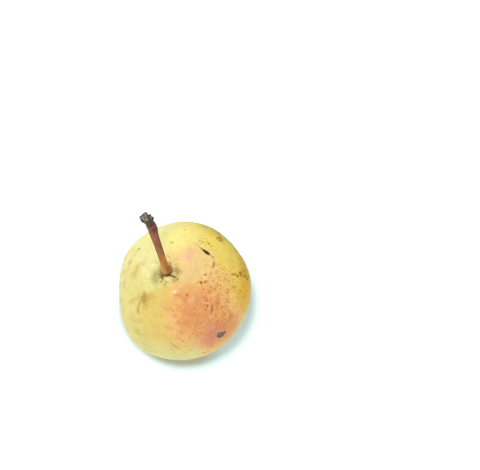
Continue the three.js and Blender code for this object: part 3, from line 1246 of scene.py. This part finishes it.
def make_lamp(name, place, size, watts):
    """A square soft lamp that faces the middle of the fruit."""
    data = bpy.data.lights.new(name, "AREA")
    data.size = size * MM
    data.energy = watts
    lamp = bpy.data.objects.new(name, data)
    bpy.context.scene.collection.objects.link(lamp)
    target = Vector((0, 0, WIDEST_HEIGHT))
    lamp.location = Vector(place) * MM
    lamp.rotation_euler = (target - Vector(place)).to_track_quat("-Z", "Y").to_euler()


def white_for_seen_rays(g):
    """1 for rays that show the background, from the camera or by a reflection."""
    rays = g.add("LightPath").outputs
    by_reflection = g.math("MAXIMUM", rays["Is Glossy Ray"], rays["Is Transmission Ray"])
    return g.math("MAXIMUM", rays["Is Camera Ray"], by_reflection)


WHITE = (1, 1, 1, 1)
WORLD_LIGHT = 0.76


def make_world():
    """Even white light, seen as plain white."""
    world = bpy.data.worlds.new("studio")
    bpy.context.scene.world = world
    world.use_nodes = True
    g = Nodes(world.node_tree)
    light = g.tree.nodes["Background"]
    light.inputs["Color"].default_value = WHITE
    light.inputs["Strength"].default_value = WORLD_LIGHT
    white = g.surface("Background", WHITE)
    seen = white_for_seen_rays(g)
    g.show("World Output", g.surface("MixShader", seen, light.outputs[0], white))


FLOOR_SIZE = 3000
FLOOR_COLOUR = (0.83, 0.86, 0.86, 1)
SHADOW_COLOUR = (0.56, 0.59, 0.53, 1)
COOL_SHADOW = (0.73, 0.87, 0.96, 1)
LIFT_COLOUR = (0.85, 1, 1.25, 1)
COOL_LIFT = (0.45, 0.8, 0.9, 1)
FLOOR_LIFT = 0.45
LET_THROUGH = 0.4  # the share of diffuse light from below that the table lets through
# The table has a painted shadow's tone under the fruit, a cool painted tone round it and
# white further out. These are distances from its middle, as shares of the fruit's radius.
SHADOW_EDGE = (0.95, 1.085)
COOL_EDGE = (1.04, 1.15)
SHADOW_SQUEEZE = (0.95, 1, 1)  # the shadow reaches further to the left and right
SHADOW_SHIFT = (1, 0, 0)  # and further to the left than to the right, in millimetres
# The shadow turns cool between these distances to the right, in the same shares.
COOL_SIDE = (0.15, 0.6)


def table_tones(g):
    """The table's colour with its painted shadow, the colour of its lift to white, and the
    lift's strength.
    """
    low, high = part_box("fruit")
    radius = (high[0] - low[0] + high[1] - low[1]) / 4 / MM
    zone = (g.place, SHADOW_SQUEEZE, SHADOW_SHIFT)
    squeezed = g.add("VectorMath", *zone, operation="MULTIPLY_ADD").outputs[0]
    distance = g.add("VectorMath", squeezed, operation="LENGTH").outputs["Value"]
    lifted = g.step(distance, *(share * radius for share in SHADOW_EDGE))
    white = g.step(distance, *(share * radius for share in COOL_EDGE))
    right = g.step(g.xyz(g.place)[0], *(share * radius for share in COOL_SIDE))
    shadow = g.mix(right, SHADOW_COLOUR, COOL_SHADOW)
    strength = g.times(g.times(lifted, FLOOR_LIFT), white_for_seen_rays(g))
    return g.mix(lifted, shadow, FLOOR_COLOUR), g.mix(white, COOL_LIFT, LIFT_COLOUR), strength


def paper_material():
    """White paper that keeps the lamps' shadow and a painted shadow's tone, is clear from
    below, and lets some light from below reach the fruit's underside."""
    g = Graph("paper")
    g.tree.nodes.remove(g.shader)
    tone, lift, strength = table_tones(g)
    glow = g.surface("Emission", lift, strength)
    paper = g.surface("AddShader", g.surface("BsdfDiffuse", tone), glow)
    diffuse = g.add("LightPath").outputs["Is Diffuse Ray"]
    behind = g.add("NewGeometry").outputs["Backfacing"]
    absent = g.math("MAXIMUM", behind, g.times(diffuse, LET_THROUGH))
    clear = g.surface("BsdfTransparent")
    g.show("Material Output", g.surface("MixShader", absent, paper, clear))
    return g.material


def make_floor():
    half = FLOOR_SIZE / 2 * MM
    mesh = bpy.data.meshes.new("table")
    corners = [(-half, -half, 0), (half, -half, 0), (half, half, 0), (-half, half, 0)]
    mesh.from_pydata(corners, [], [(0, 1, 2, 3)])
    mesh.materials.append(paper_material())
    floor = bpy.data.objects.new("table", mesh)
    bpy.context.scene.collection.objects.link(floor)
    floor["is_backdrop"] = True


def make_stage():
    make_camera()
    make_world()
    make_floor()
    for lamp in LAMPS:
        make_lamp(*lamp)
    bpy.context.scene.view_settings.view_transform = "Standard"


make_fruit()
make_stem()
make_dried_flower()
make_stage()

sizes = {"cad": CAD_BOUNDS, "visual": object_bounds()}
{k: [list(corner) for corner in v] for k, v in sizes.items()}
